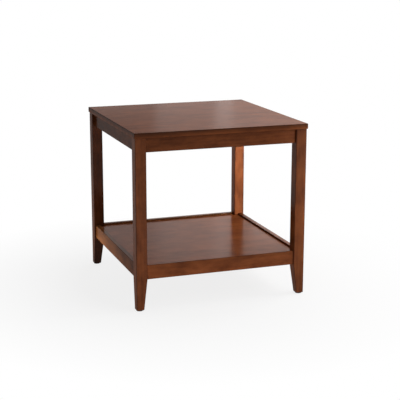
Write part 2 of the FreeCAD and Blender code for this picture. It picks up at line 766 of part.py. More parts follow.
def top_screw_seats():
    seats = []
    z = f"{UNDER_TOP} - {TOP_SCREW_SEAT}"
    for turn, _, _, along, across in QUARTERS:
        x_corner, y_corner = corner_of(along, across, APRON_INNER)
        for x, y in (("top_screw_far", "top_screw_near"), ("top_screw_near", "top_screw_far")):
            seats.append((turn, f"{x_corner} + {x}", f"{y_corner} + {y}", z, UP))
    return seats


def cleat_screw_seats():
    seats = []
    z = f"{CLEAT_BASE} + cleat_height / 2"
    for turn, _, _, along, across in QUARTERS:
        outer = f"{cleat_length(along)} / 2 - cleat_screw_inset"
        y = side_of(across, f"({RAIL_INNER} + cleat_width)")
        seats += [(turn, x, y, z, TO_FRONT) for x in ("0", outer, f"-({outer})")]
    return seats


def panel_screw_seats():
    seats = []
    for turn, _, _, along, across in QUARTERS:
        y = side_of(across, f"({RAIL_INNER} + cleat_width / 2)")
        seats += [(turn, f"{sign}{cleat_length(along)} / 4", y, CLEAT_BASE, UP) for sign in ("", "-")]
    return seats


def nail_seats():
    z = "nail_recess - nail_head_thickness"
    inset = f"{FOOT_SIZE} / 2"
    return [(turn, *corner_of(along, across, inset), z, UP) for turn, _, _, along, across in QUARTERS]


# ---------------------------------------------------------------- assembly

def make_table():
    """Make every sub-part of the table and return them."""
    parts = [make_top(), make_panel()]
    for turn, side, corner, along, across in QUARTERS:
        parts.append(make_leg(f"leg_{corner}", turn, along, across))
        parts.append(make_glide(corner, turn, along, across))
        parts.append(make_corner_block(corner, turn, along, across))
        parts.append(make_apron(side, turn, along, across))
        parts.append(make_shelf_rail(side, turn, along, across))
        parts.append(make_cleat(side, turn, along, across))
    dowel = make_dowel_master()
    bolt = make_bolt_master()
    apron_dowels = dowel_seats(APRON_AXIS, APRON_BASE, "apron_height", APRON_DOWEL_DEPTH)
    rail_dowels = dowel_seats(RAIL_AXIS, "shelf_rail_base", "shelf_rail_height", RAIL_DOWEL_DEPTH)
    top_screw = make_screw_master("TopScrewMaster", "top_screw_length")
    block_screw = make_screw_master("BlockScrewMaster", "block_screw_length")
    cleat_screw = make_screw_master("CleatScrewMaster", "cleat_screw_length")
    panel_screw = make_screw_master("PanelScrewMaster", "panel_screw_length")
    parts += [
        make_group("apron_dowels", dowel, apron_dowels),
        make_group("shelf_rail_dowels", dowel, rail_dowels),
        make_group("hanger_bolts", bolt, bolt_seats(BOLT_OUTSIDE, OUT_OF_TABLE)),
        make_group("hanger_bolt_washers", make_washer_master(), bolt_seats("0", INTO_TABLE)),
        make_group("hanger_bolt_nuts", make_nut_master(), bolt_seats("washer_thickness", INTO_TABLE)),
        make_group("top_screws", top_screw, top_screw_seats()),
        make_group("corner_block_screws", block_screw, block_screw_seats()),
        make_group("cleat_screws", cleat_screw, cleat_screw_seats()),
        make_group("shelf_panel_screws", panel_screw, panel_screw_seats()),
        make_group("glide_nails", make_nail_master(), nail_seats()),
    ]
    return parts


def check_model(parts):
    """Stop if an object failed to build or a sub-part has no sound solid."""
    for item in DOC.Objects:
        if {"Invalid", "Error"} & set(item.State):
            raise RuntimeError(f"{item.Label} is {item.State}")
    for part in parts:
        shape = part.Shape
        if shape.isNull() or not shape.isValid() or not shape.Solids:
            raise RuntimeError(f"{part.Label} has no sound solid")


def write_parts(parts):
    os.makedirs("parts", exist_ok=True)
    for part in parts:
        part.Shape.exportStep(f"parts/{part.Label}.step")


fill_sheet()
PARTS = make_table()
DOC.recompute()
check_model(PARTS)
write_parts(PARTS)
print(f"{len(PARTS)} sub-parts, {sum(len(part.Shape.Solids) for part in PARTS)} solids")
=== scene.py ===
"""Looks of an end table with a lower shelf: stained and lacquered wood, hardware, a pale studio.

Metres, +Z up, the origin on the floor under the middle of the top, the front towards -Y. Every
piece keeps its own solid from the frame and gets a material of its own kind. The grain of each
board runs along its length: along Z in the legs, along X or Y in the boards between them.
"""
import math
from collections import namedtuple

import bmesh
import bpy
from mathutils import Matrix, Vector


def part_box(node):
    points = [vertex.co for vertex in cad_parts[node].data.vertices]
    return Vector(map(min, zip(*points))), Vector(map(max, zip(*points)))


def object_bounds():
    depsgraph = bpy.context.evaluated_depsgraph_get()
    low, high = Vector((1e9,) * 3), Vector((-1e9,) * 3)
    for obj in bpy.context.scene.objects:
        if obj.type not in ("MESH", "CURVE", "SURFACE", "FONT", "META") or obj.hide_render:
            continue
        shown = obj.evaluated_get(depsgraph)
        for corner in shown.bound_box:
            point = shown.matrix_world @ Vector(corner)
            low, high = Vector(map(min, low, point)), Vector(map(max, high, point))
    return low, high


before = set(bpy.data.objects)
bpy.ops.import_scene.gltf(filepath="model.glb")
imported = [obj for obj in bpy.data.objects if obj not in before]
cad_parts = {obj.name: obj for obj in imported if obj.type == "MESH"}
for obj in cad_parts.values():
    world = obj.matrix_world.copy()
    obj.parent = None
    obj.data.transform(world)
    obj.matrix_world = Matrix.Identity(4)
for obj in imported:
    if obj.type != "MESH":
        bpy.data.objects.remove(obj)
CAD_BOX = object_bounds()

bl_info = {
    "name": "End table with shelf",
    "version": (1, 0, 0),
    "blender": (4, 5, 0),
    "location": "3D View > Sidebar > End Table",
    "description": "Finishes the pieces of an end table and sets up its studio",
    "category": "Object",
}

CORNERS = ("front_left", "front_right", "back_right", "back_left")
ACROSS_SIDES = ("front", "back")
DEPTH_SIDES = ("left", "right")

# Turns that bring the grain of a board, along the named axis, to the X axis of the wood texture.
GRAIN_TURNS = {
    "X": (0.0, 0.0, 0.0),
    "Y": (0.0, 0.0, -math.pi / 2),
    "Z": (0.0, math.pi / 2, 0.0),
    "XY": (0.0, 0.0, -math.pi / 4),
    "YX": (0.0, 0.0, math.pi / 4),
}

# The place of each axis in a vector.
AXES = {"X": 0, "Y": 1, "Z": 2}

# How far apart the nodes of a row stand.
NODE_STEP = 200


# ---------------------------------------------------------------- settings

class EndTableWood(bpy.types.PropertyGroup):
    """Stain and lacquer of the visible boards"""

    stain: bpy.props.FloatVectorProperty(
        name="Stain", description="Colour of the stained wood between the rings",
        subtype="COLOR", size=3, min=0, max=1, default=(0.235, 0.067, 0.0205),
    )
    dark_stain: bpy.props.FloatVectorProperty(
        name="Dark stain", description="Colour where the stain soaks in, in rings and streaks",
        subtype="COLOR", size=3, min=0, max=1, default=(0.088, 0.0225, 0.0065),
    )
    # Partly stain that gathers on the rounded edges and partly painted shade that outlines them.
    edge_stain: bpy.props.FloatVectorProperty(
        name="Edge stain", description="Colour of the rounded edges, where the stain gathers",
        subtype="COLOR", size=3, min=0, max=1, default=(0.042, 0.011, 0.004),
    )
    ring_spacing: bpy.props.FloatProperty(
        name="Ring spacing", description="Distance between growth rings across the grain",
        subtype="DISTANCE", unit="LENGTH", min=0.001, default=0.011,
    )
    # These two set how far and how strongly the edges are darkened, by stain and by painted shade.
    edge_width: bpy.props.FloatProperty(
        name="Edge width", description="How far the edge stain reaches onto the faces",
        subtype="DISTANCE", unit="LENGTH", min=0, default=0.0022,
    )
    edge_depth: bpy.props.FloatProperty(
        name="Edge depth", description="How strongly the stain gathers on the edges",
        subtype="FACTOR", min=0, max=1, default=1.0,
    )
    lacquer: bpy.props.FloatProperty(
        name="Lacquer", description="Weight of the clear lacquer",
        subtype="FACTOR", min=0, max=1, default=0.14,
    )
    lacquer_roughness: bpy.props.FloatProperty(
        name="Lacquer roughness", description="Roughness of the clear lacquer",
        subtype="FACTOR", min=0, max=1, default=0.2,
    )


class EndTableHardware(bpy.types.PropertyGroup):
    """Colours and growth rings of the pieces that hold the table together"""

    raw_wood: bpy.props.FloatVectorProperty(
        name="Raw wood", description="Colour of the cleats and corner blocks",
        subtype="COLOR", size=3, min=0, max=1, default=(0.62, 0.45, 0.27),
    )
    raw_wood_dark: bpy.props.FloatVectorProperty(
        name="Raw wood rings", description="Colour of the rings of the raw wood",
        subtype="COLOR", size=3, min=0, max=1, default=(0.46, 0.30, 0.16),
    )
    cleat_rings: bpy.props.FloatProperty(
        name="Cleat rings", description="Distance between growth rings in the cleats",
        subtype="DISTANCE", unit="LENGTH", min=0.001, default=0.006,
    )
    block_rings: bpy.props.FloatProperty(
        name="Block rings", description="Distance between growth rings in the corner blocks",
        subtype="DISTANCE", unit="LENGTH", min=0.001, default=0.005,
    )
    dowel: bpy.props.FloatVectorProperty(
        name="Dowel", description="Colour of the beech dowels",
        subtype="COLOR", size=3, min=0, max=1, default=(0.66, 0.44, 0.27),
    )
    dowel_dark: bpy.props.FloatVectorProperty(
        name="Dowel flecks", description="Colour of the flecks in the beech",
        subtype="COLOR", size=3, min=0, max=1, default=(0.48, 0.28, 0.15),
    )
    dowel_rings: bpy.props.FloatProperty(
        name="Dowel rings", description="Distance between growth rings in the dowels",
        subtype="DISTANCE", unit="LENGTH", min=0.001, default=0.003,
    )
    zinc: bpy.props.FloatVectorProperty(
        name="Zinc", description="Colour of the zinc on bolts, washers, nuts, screws and nails",
        subtype="COLOR", size=3, min=0, max=1, default=(0.62, 0.63, 0.66),
    )
    glide: bpy.props.FloatVectorProperty(
        name="Glide", description="Colour of the nylon glides",
        subtype="COLOR", size=3, min=0, max=1, default=(0.030, 0.022, 0.018),
    )


class EndTableStage(bpy.types.PropertyGroup):
    """Floor, background and lamps"""

    floor_colour: bpy.props.FloatVectorProperty(
        name="Floor", description="Colour of the floor as the table sees it",
        subtype="COLOR", size=3, min=0, max=1, default=(0.80, 0.80, 0.80),
    )
    floor_radius: bpy.props.FloatProperty(
        name="Floor radius", description="Radius of the round floor",
        subtype="DISTANCE", unit="LENGTH", min=1, default=30.0,
    )
    shadow_depth: bpy.props.FloatProperty(
        name="Shadow depth", description="How much of the table's shadow the white floor keeps",
        subtype="FACTOR", min=0, max=1, default=0.17,
    )
    reflected_depth: bpy.props.FloatProperty(
        name="Reflected depth",
        description="How much of the real shading of the floor the lacquer reflects",
        subtype="FACTOR", min=0, max=1, default=0.40,
    )
    reflected_room: bpy.props.FloatProperty(
        name="Reflected room", description="How bright the room is in the lacquer",
        subtype="FACTOR", min=0, max=1, default=0.40,
    )
    shadow_start: bpy.props.FloatProperty(
        name="Shadow start",
        description="Distance from the table's middle where the shadow begins to fade",
        subtype="DISTANCE", unit="LENGTH", min=0, default=0.40,
    )
    shadow_end: bpy.props.FloatProperty(
        name="Shadow end",
        description="Distance from the table's middle where the floor is plain white",
        subtype="DISTANCE", unit="LENGTH", min=0, default=1.0,
    )
    world_level: bpy.props.FloatProperty(
        name="Room light", description="Level of the even light from all round",
        min=0, default=0.16,
    )
    lamp_level: bpy.props.FloatProperty(
        name="Lamp light", description="Level of all the softboxes together",
        min=0, default=1.0,
    )


class EndTableCamera(bpy.types.PropertyGroup):
    """Place and lens of the camera"""

    place: bpy.props.FloatVectorProperty(
        name="Place", description="Where the camera stands",
        subtype="TRANSLATION", unit="LENGTH", size=3, default=(-1.2330, -3.5509, 1.1883),
    )
    heading: bpy.props.FloatProperty(
        name="Heading", description="Turn of the camera to the right of straight ahead",
        subtype="ANGLE", unit="ROTATION", default=0.3408,
    )
    tilt: bpy.props.FloatProperty(
        name="Tilt", description="How far the camera looks down",
        subtype="ANGLE", unit="ROTATION", default=0.2345,
    )
    roll: bpy.props.FloatProperty(
        name="Roll", description="Turn of the camera about its own axis",
        subtype="ANGLE", unit="ROTATION", default=0.0014,
    )
    lens: bpy.props.FloatProperty(
        name="Lens", description="Focal length on a sensor 36 mm wide",
        subtype="DISTANCE_CAMERA", unit="CAMERA", min=1, default=96.51,
    )


# Painted light and shade: how much lighter or darker each board is painted at the low (or front,
# or left) end and the high (or back, or right) end, where more or less light falls on it, each as
# one number or as red, green and blue.
TOP_PAINTED_LIGHT = (1.06, 1.12)
PANEL_PAINTED_LIGHT = (1.29, 1.00)
LEG_PAINTED_LIGHT = {
    "front_left": (1.34, 1.12),
    "front_right": (1.13, 0.76),
    "back_right": (1.38, 1.33),
    "back_left": (0.40, 0.94),
}
APRON_PAINTED_LIGHT = {
    "front": (0.92, 1.10),
    "back": (1.05, 0.95),
    "left": (0.78, 0.43),
    "right": (1.00, 1.05),
}
RAIL_PAINTED_LIGHT = {
    "front": (1.58, 1.42),
    "back": ((1.6, 2.0, 2.3), (0.9, 1.1, 1.2)),
    "left": (0.74, (1.55, 1.95, 1.8)),
    "right": (1.20, 1.10),
}

# How light each board is from its lower to its upper edge: painted light on the aprons, painted
# light at the foot and painted shade at the top of the top's edge; the rails darker towards the
# top.
EVEN_RISE = (1.0, 1.0)
APRON_PAINTED_LIGHT_RISE = (1.06, 1.06)
RAIL_RISE = (1.08, 0.80)
TOP_EDGE_PAINTED_LIGHT = (1.12, 0.30)

# How much the streaks and clouds of the stain show in a board, and its share of the lacquer's
# weight.
Finish = namedtuple("Finish", "streaks clouds lacquer")
WIDE_FINISH = Finish(0.16, 0.46, 1.0)
LEG_FINISH = Finish(0.26, 0.66, 1.3)
NARROW_FINISH = Finish(0.22, 0.62, 1.0)

# Roughness of the wood between the rings and in them.
STAINED_ROUGHNESS = (0.42, 0.58)
RAW_ROUGHNESS = (0.62, 0.75)

# Strength and depth, in metres, of the relief that a finish shows.
Relief = namedtuple("Relief", "strength depth")
STAINED_RELIEF = Relief(0.15, 0.0004)
RAW_RELIEF = Relief(0.30, 0.0005)
ZINC_RELIEF = Relief(0.20, 0.0001)
NYLON_RELIEF = Relief(0.25, 0.0001)

# Noise drawn out along the grain: its changes in a metre along and across the grain, its detail
# and roughness, and the two values between which it goes from least to full.
Noise = namedtuple("Noise", "along across detail roughness low high", defaults=(0.5, 0.0, 1.0))
RING_NOISE = Noise(1.3, 4.0, 2.0)
FIGURE_NOISES = {
    "Streaks": Noise(4.0, 150.0, 4.0, 0.62, 0.30, 0.70),
    "Bands": Noise(1.4, 34.0, 3.0, 0.55, 0.30, 0.70),
    "Clouds": Noise(12.0, 26.0, 5.0, 0.58, 0.34, 0.66),
}
PORE_NOISE = Noise(70.0, 1500.0, 1.0, 0.5, 0.62, 0.72)
EDGE_NOISE = Noise(22.0, 60.0, 3.0, 0.6, 0.35, 0.65)

# How far the noise pushes the rings about, in metres, and how far into a ring, as a share of its
# width, the wood is fully dark and starts to turn light again.
RING_PUSH = 0.07
RING_DARK = 0.70
RING_TURN = 0.74

# Cosines of the turn that counts as flat and of the one that counts as round: of a face from the
# nearest axis, and of a face that bends in the bevel.
ROUNDED_COSINES = (0.985, 0.90)
BEVEL_COSINES = (0.99, 0.80)

# Cosines of the turn that counts as level and of the one that counts as upright.
UPRIGHT_COSINES = (0.8, 0.2)

# The least share of the edge stain and painted edge shade, where it is thin.
LEAST_EDGE = 0.75

# The darkest colour of the specks in zinc and nylon, the detail of their noise, and the two values
# between which it goes from none to full.
SPECK_COLOUR = (0.050, 0.045, 0.040)
SPECK_DETAIL = 4.0
SPECK_LIMITS = (0.3, 0.7)

# Where each board is cut from the endless wood of the texture, in metres: along the grain, then
# twice across it, from the pith. The cleats go by the direction of their grain.
CUTS = {
    "table_top": (4.47, 0.21, -0.31),
    "shelf_panel": (2.63, -0.27, 0.22),
    "leg": (2.20, 0.24, 0.17),
    "apron": (7.20, 0.26, -0.43),
    "shelf_rail": (8.70, -0.28, 0.22),
    "cleat_x": (0.60, 0.31, 0.20),
    "cleat_y": (1.90, 0.27, 0.10),
    "corner_block": (0.80, 0.20, 0.10),
    "dowel": (0.30, 0.20, 0.10),
}

# How much further along the grain the next piece of a kind is cut.
LEG_CUT_STEP = 1.3
SIDE_CUT_STEP = 1.1
BLOCK_CUT_STEP = 0.7

# Corners of the round floor, width of the camera's sensor in millimetres, and how far the camera
# sees in metres.
FLOOR_SEGMENTS = 96
SENSOR_WIDTH = 36.0
VIEW_DISTANCE = 200.0

# A lamp with wood_only set leaves the floor dark and doesn't show in the lacquer. Its spread is in
# degrees.
Softbox = namedtuple(
    "Softbox", "place target width height watts spread wood_only", defaults=(180, False)
)
SOFTBOXES = {
    "lamp_right_high": Softbox((1.3, -0.2, 1.3), (0.0, 0.0, 0.4), 0.8, 0.8, 12.8),
    "lamp_right_higher": Softbox((1.1, -0.2, 1.75), (0.0, 0.0, 0.4), 0.8, 0.8, 5.9),
    "lamp_front_high": Softbox((1.3, -1.3, 1.8), (0.0, 0.0, 0.4), 1.0, 1.0, 5.8),
    "lamp_front_far": Softbox((1.0, -2.0, 1.5), (0.0, 0.0, 0.4), 1.2, 1.2, 7.2),
    "lamp_right_behind": Softbox((1.0, 1.0, 0.3), (0.0, 0.0, 0.25), 0.7, 0.4, 3.3),
    "lamp_behind": Softbox((0.3, 2.0, 0.62), (0.0, 0.0, 0.3), 1.2, 0.5, 3.2),
    "lamp_behind_high": Softbox((0.3, 2.0, 1.0), (0.0, 0.0, 0.4), 1.2, 1.2, 1.9),
    "lamp_behind_right": Softbox((1.2, 2.0, 0.85), (0.1, 0.0, 0.4), 1.4, 1.0, 4.2),
    "lamp_behind_far_right": Softbox((1.35, 2.0, 0.95), (0.1, 0.0, 0.4), 1.0, 0.8, 3.5),
    "lamp_left": Softbox((-1.6, 0.0, 0.9), (0.0, 0.0, 0.4), 0.8, 0.8, 0.3),
    "lamp_above": Softbox((0.0, 0.0, 2.0), (0.0, 0.0, 0.0), 1.2, 1.2, 0.7),
    "lamp_narrow": Softbox(
        (0.75, -1.0, 0.42), (0.283, 0.264, 0.34), 0.3, 0.4, 0.72, 30, wood_only=True
    ),
    "lamp_left_near": Softbox(
        (-0.6, 0.3, 0.05), (-0.3, 0.15, 0.13), 0.3, 0.08, 0.84, wood_only=True
    ),
    "lamp_left_low": Softbox(
        (-0.8, 0.05, 0.07), (-0.3, 0.05, 0.13), 0.5, 0.12, 0.31, wood_only=True
    ),
    "lamp_front_low": Softbox(
        (-0.2, -0.9, 0.08), (-0.1, -0.3, 0.15), 0.8, 0.12, 0.68, wood_only=True
    ),
}


# ---------------------------------------------------------------- shader building blocks

def link_all(tree, *pairs):
    """Link each pair of an output and an input."""
    for source, target in pairs:
        tree.links.new(source, target)


def add_node(tree, kind, place, **values):
    """Add a node, set its properties by name, and return it."""
    node = tree.nodes.new(kind)
    node.location = place
    for name, value in values.items():
        setattr(node, name, value)
    return node


def set_sockets(node, values):
    """Set input sockets by name, and give a plain colour its alpha."""
    for name, value in values.items():
        socket = node.inputs[name]
        socket.default_value = (*value, 1.0) if socket.type == "RGBA" else value


def shifted(place, columns):
    """Return the place of a node some columns to the right."""
    return place[0] + columns * NODE_STEP, place[1]


def add_math(tree, place, operation, first, second=None, clamp=False):
    """Add a math node fed by sockets or numbers and return its output."""
    node = add_node(tree, "ShaderNodeMath", place, operation=operation, use_clamp=clamp)
    for index, value in enumerate((first, second)):
        if isinstance(value, (int, float)):
            node.inputs[index].default_value = value
        elif value is not None:
            tree.links.new(value, node.inputs[index])
    return node.outputs[0]


def add_range(tree, place, value, low, high, new_low=0.0, new_high=1.0):
    """Add a clamped map from one range to another and return its output."""
    node = add_node(tree, "ShaderNodeMapRange", place, clamp=True)
    tree.links.new(value, node.inputs["Value"])
    limits = {"From Min": low, "From Max": high, "To Min": new_low, "To Max": new_high}
    for name, limit in limits.items():
        if isinstance(limit, (int, float)):
            node.inputs[name].default_value = limit
        else:
            tree.links.new(limit, node.inputs[name])
    return node.outputs["Result"]


def add_mix(tree, place, factor, first, second, blend="MIX"):
    """Mix two colours and return the result."""
    node = add_node(tree, "ShaderNodeMix", place, data_type="RGBA", blend_type=blend)
    # The node has sockets for numbers, vectors and colours, so its colours go by number.
    for index, value in ((0, factor), (6, first), (7, second)):
        if isinstance(value, (int, float, tuple)):
            node.inputs[index].default_value = value
        else:
            tree.links.new(value, node.inputs[index])
    return node.outputs[2]


def add_stretched_noise(tree, place, vector, noise):
    """Add noise with its own scale along and across the grain, and return its node."""
    stretch = add_node(tree, "ShaderNodeVectorMath", place, operation="MULTIPLY")
    stretch.inputs[1].default_value = (noise.along, noise.across, noise.across)
    texture = add_node(tree, "ShaderNodeTexNoise", shifted(place, 1))
    set_sockets(texture, {"Scale": 1.0, "Detail": noise.detail, "Roughness": noise.roughness})
    link_all(tree, (vector, stretch.inputs[0]), (stretch.outputs[0], texture.inputs["Vector"]))
    return texture


def add_patches(tree, place, vector, noise, least=0.0):
    """Add stretched noise that goes from the least value to 1 between its two limits."""
    value = add_stretched_noise(tree, place, vector, noise).outputs["Fac"]
    return add_range(tree, shifted(place, 2), value, noise.low, noise.high, least, 1.0)


def new_group(name, inputs, outputs):
    """Make a shader node group with named sockets: (kind, name, default) in, (kind, name) out."""
    group = bpy.data.node_groups.new(name, "ShaderNodeTree")
    for kind, label, default in inputs:
        socket = group.interface.new_socket(name=label, in_out="INPUT", socket_type=kind)
        if default is not None:
            socket.default_value = default
    for kind, label in outputs:
        group.interface.new_socket(name=label, in_out="OUTPUT", socket_type=kind)
    start = add_node(group, "NodeGroupInput", (-1200, 0))
    end = add_node(group, "NodeGroupOutput", (1200, 0))
    return group, start, end


def grain_group():
    """Return the group that draws growth rings, streaks and pores along the X axis, made once."""
    name = "wood_grain"
    if name in bpy.data.node_groups:
        return bpy.data.node_groups[name]
    group, start, end = new_group(
        name,
        (
            ("NodeSocketVector", "Vector", None),
            ("NodeSocketColor", "Light Wood", (0.5, 0.3, 0.2, 1.0)),
            ("NodeSocketColor", "Dark Wood", (0.3, 0.15, 0.1, 1.0)),
            ("NodeSocketFloat", "Ring Spacing", 0.01),
            ("NodeSocketFloat", "Rings", 0.10),
            ("NodeSocketFloat", "Streaks", 0.22),
            ("NodeSocketFloat", "Bands", 0.14),
            ("NodeSocketFloat", "Clouds", 0.62),
            ("NodeSocketFloat", "Pores", 0.35),
        ),
        (
            ("NodeSocketColor", "Color"),
            ("NodeSocketFloat", "Figure"),
            ("NodeSocketFloat", "Height"),
        ),
    )
    vector = start.outputs["Vector"]
    # Rings round a far pith line, pushed about by slow noise so that they run in long arches. Each
    # ring darkens slowly and turns light again quickly.
    warp = add_stretched_noise(group, (-1000, 500), vector, RING_NOISE)
    centred = add_node(group, "ShaderNodeVectorMath", (-640, 500), operation="SUBTRACT")
    centred.inputs[1].default_value = (0.5, 0.5, 0.5)
    pushed = add_node(group, "ShaderNodeVectorMath", (-460, 500), operation="MULTIPLY_ADD")
    pushed.inputs[1].default_value = (0.0, RING_PUSH, RING_PUSH)
    across = add_node(group, "ShaderNodeVectorMath", (-280, 500), operation="MULTIPLY")
    across.inputs[1].default_value = (0.0, 1.0, 1.0)
    radius = add_node(group, "ShaderNodeVectorMath", (-100, 500), operation="LENGTH")
    link_all(
        group,
        (warp.outputs["Color"], centred.inputs[0]),
        (centred.outputs[0], pushed.inputs[0]),
        (vector, pushed.inputs[2]),
        (pushed.outputs[0], across.inputs[0]),
        (across.outputs[0], radius.inputs[0]),
    )
    spacing = start.outputs["Ring Spacing"]
    turns = add_math(group, (80, 500), "DIVIDE", radius.outputs["Value"], spacing)
    part = add_math(group, (240, 500), "FRACT", turns)
    rise = add_range(group, (400, 560), part, 0.0, RING_DARK)
    fall = add_range(group, (400, 380), part, RING_TURN, 1.0, 1.0, 0.0)
    slow_rise = add_math(group, (560, 620), "POWER", rise, 2.0)
    ring = add_math(group, (560, 500), "MULTIPLY", slow_rise, fall)
    # Fine streaks, broad bands and cloudy stain, drawn out along the grain, the clouds least, and
    # short pores, which are dark and sunk.
    total = add_math(group, (700, 300), "MULTIPLY", ring, start.outputs["Rings"])
    for row, (kind, noise) in enumerate(FIGURE_NOISES.items()):
        height = 150 - 150 * row
        patches = add_patches(group, (-1000, height), vector, noise)
        share = add_math(group, (-380, height), "MULTIPLY", patches, start.outputs[kind])
        total = add_math(group, (760 + 60 * row, 200), "ADD", total, share, clamp=True)
    pores = add_patches(group, (-1000, -350), vector, PORE_NOISE)
    pore_share = add_math(group, (-380, -350), "MULTIPLY", pores, start.outputs["Pores"])
    dark = add_math(group, (940, 100), "ADD", total, pore_share, clamp=True)
    woods = (start.outputs["Light Wood"], start.outputs["Dark Wood"])
    colour = add_mix(group, (1040, 300), dark, *woods)
    relief = add_math(group, (940, -200), "SUBTRACT", total, pore_share)
    link_all(
        group,
        (colour, end.inputs["Color"]),
        (total, end.inputs["Figure"]),
        (relief, end.inputs["Height"]),
    )
    return group


def edge_group():
    """Return the group that marks the rounded edges of a squared piece, made once."""
    name = "edge_stain"
    if name in bpy.data.node_groups:
        return bpy.data.node_groups[name]
    group, start, end = new_group(
        name,
        (
            ("NodeSocketVector", "Vector", None),
            ("NodeSocketFloat", "Width", 0.002),
            ("NodeSocketFloat", "Depth", 0.8),
            ("NodeSocketFloat", "Underside Shade", 1.0),
        ),
        (("NodeSocketFloat", "Mask"),),
    )
    bevel = add_node(group, "ShaderNodeBevel", (-1100, 300), samples=6)
    surface = add_node(group, "ShaderNodeNewGeometry", (-1100, 100))
    turn = add_node(group, "ShaderNodeVectorMath", (-900, 250), operation="DOT_PRODUCT")
    sides = add_node(group, "ShaderNodeVectorMath", (-900, 50), operation="ABSOLUTE")
    side = add_node(group, "ShaderNodeSeparateXYZ", (-700, 50))
    facing = add_node(group, "ShaderNodeSeparateXYZ", (-700, -100))
    link_all(
        group,
        (start.outputs["Width"], bevel.inputs["Radius"]),
        (bevel.outputs[0], turn.inputs[0]),
        (surface.outputs["True Normal"], turn.inputs[1]),
        (surface.outputs["True Normal"], sides.inputs[0]),
        (surface.outputs["True Normal"], facing.inputs[0]),
        (sides.outputs[0], side.inputs[0]),
    )
    # The rounding itself faces none of the three axes, and the faces beside it bend in the bevel.
    # Both are measured by the cosine of the turn.
    widest = add_math(group, (-500, 50), "MAXIMUM", side.outputs["X"], side.outputs["Y"])
    squareness = add_math(group, (-350, 50), "MAXIMUM", widest, side.outputs["Z"])
    rounding = add_range(group, (-200, 50), squareness, *ROUNDED_COSINES)
    beside = add_range(group, (-200, 250), turn.outputs["Value"], *BEVEL_COSINES)
    edge = add_math(group, (0, 150), "MAXIMUM", rounding, beside)
    # Edges that face the floor keep only the share of the darkening that the material asks for; on
    # the top none, so its lower edge stays light as painted light from the floor.
    underside_shade = start.outputs["Underside Shade"]
    kept = add_range(group, (-200, -150), facing.outputs["Z"], -0.5, 0.0, underside_shade, 1.0)
    patches = add_patches(group, (-900, -350), start.outputs["Vector"], EDGE_NOISE, LEAST_EDGE)
    share = add_math(group, (100, -200), "MULTIPLY", kept, patches)
    mask = add_math(group, (200, 0), "MULTIPLY", edge, share)
    deep = add_math(group, (400, 0), "MULTIPLY", mask, start.outputs["Depth"], clamp=True)
    link_all(group, (deep, end.inputs["Mask"]))
    return group


def speckle_group():
    """Return the group that varies a plain finish from place to place, made once."""
    name = "fine_speckle"
    if name in bpy.data.node_groups:
        return bpy.data.node_groups[name]
    group, start, end = new_group(
        name,
        (
            ("NodeSocketVector", "Vector", None),
            ("NodeSocketColor", "Base", (0.5, 0.5, 0.5, 1.0)),
            ("NodeSocketFloat", "Scale", 300.0),
            ("NodeSocketFloat", "Contrast", 0.2),
            ("NodeSocketFloat", "Low Roughness", 0.3),
            ("NodeSocketFloat", "High Roughness", 0.5),
        ),
        (
            ("NodeSocketColor", "Color"),
            ("NodeSocketFloat", "Roughness"),
            ("NodeSocketFloat", "Height"),
        ),
    )
    noise = add_node(group, "ShaderNodeTexNoise", (-900, 0))
    set_sockets(noise, {"Detail": SPECK_DETAIL})
    link_all(
        group,
        (start.outputs["Vector"], noise.inputs["Vector"]),
        (start.outputs["Scale"], noise.inputs["Scale"]),
    )
    value = add_range(group, (-650, 0), noise.outputs["Fac"], *SPECK_LIMITS)
    shade = add_math(group, (-400, 150), "MULTIPLY", value, start.outputs["Contrast"])
    colour = add_mix(group, (-100, 200), shade, start.outputs["Base"], (*SPECK_COLOUR, 1.0))
    limits = (start.outputs["Low Roughness"], start.outputs["High Roughness"])
    rough = add_range(group, (-100, -100), value, 0.0, 1.0, *limits)
    link_all(
        group,
        (colour, end.inputs["Color"]),
        (rough, end.inputs["Roughness"]),
        (value, end.inputs["Height"]),
    )
    return group


def new_material(name):
    """Start a material and return it with its tree and its Principled shader."""
    material = bpy.data.materials.new(name)
    material.use_nodes = True
    tree = material.node_tree
    tree.nodes.clear()
    shader = add_node(tree, "ShaderNodeBsdfPrincipled", (500, 0))
    output = add_node(tree, "ShaderNodeOutputMaterial", (800, 0))
    link_all(tree, (shader.outputs[0], output.inputs["Surface"]))
    return material, tree, shader


def grain_vector(tree, grain, cut):
    """Return the piece's own coordinates with the grain turned to X, moved to where it is cut."""
    place = add_node(tree, "ShaderNodeTexCoord", (-900, 0))
    turn = add_node(tree, "ShaderNodeMapping", (-700, 0))
    set_sockets(turn, {"Rotation": GRAIN_TURNS[grain], "Location": cut})
    link_all(tree, (place.outputs["Object"], turn.inputs["Vector"]))
    return turn.outputs["Vector"]


def add_relief(tree, height, shader, relief):
    """Feed a height through a bump node into the normal of a shader."""
    bump = add_node(tree, "ShaderNodeBump", (250, -300))
    set_sockets(bump, {"Strength": relief.strength, "Distance": relief.depth})
    link_all(
        tree,
        (height, bump.inputs["Height"]),
        (bump.outputs["Normal"], shader.inputs["Normal"]),
    )


def add_tone(tree, place, axis, low, high, painted_light_ends):
    """Return a tone that changes along an axis between two places, from numbers or colours: painted
    light and shade on most boards.
    """
    own = add_node(tree, "ShaderNodeTexCoord", place)
    split = add_node(tree, "ShaderNodeSeparateXYZ", shifted(place, 1))
    link_all(tree, (own.outputs["Object"], split.inputs[0]))
    along = add_range(tree, shifted(place, 2), split.outputs[axis], low, high)
    ends = [(*painted_light, 1.0) if isinstance(painted_light, tuple) else (painted_light, painted_light, painted_light, 1.0) for painted_light in painted_light_ends]
    return add_mix(tree, shifted(place, 3), along, *ends)


